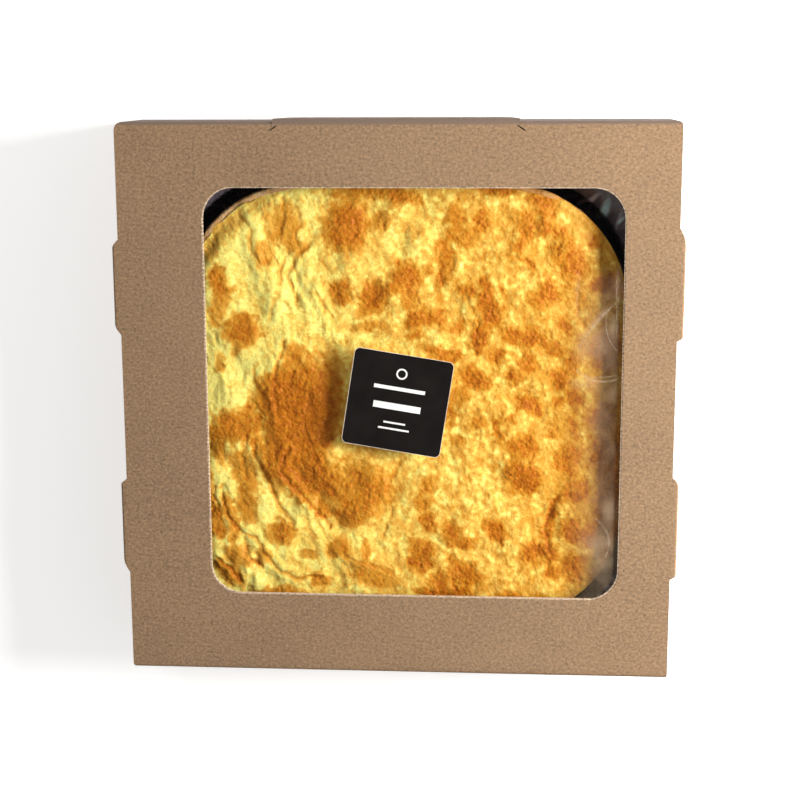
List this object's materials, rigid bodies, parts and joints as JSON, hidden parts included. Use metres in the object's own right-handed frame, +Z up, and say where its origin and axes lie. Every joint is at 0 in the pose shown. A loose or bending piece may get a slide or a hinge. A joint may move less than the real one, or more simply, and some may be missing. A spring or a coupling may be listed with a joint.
{
  "type": "quiche lorraine in a window box",
  "caption": "Square baked quiche with a blistered golden top, lying in a black tray inside a shut kraft board box with a clear film window and a small dark label.",
  "frame": {"origin": "middle of the underside of the shut box, its ears and closing flap included", "axes": "+Z up out of the lid; +Y towards the edge where the closing flap is; +X to the right as the picture shows the lid"},
  "size_m": [0.3068, 0.3064, 0.05],
  "materials": {
    "kraft_board": "matt",
    "window_film": "gloss",
    "label_paper": "satin",
    "black_tray": "gloss",
    "pastry": "matt",
    "custard": "satin"
  },
  "bodies": {
    "root": {"window_box": "kraft_board", "window_film": "window_film", "label": "label_paper", "tray": "black_tray", "pastry_case": "pastry", "custard_filling": "custard"}
  },
  "joints": []
}
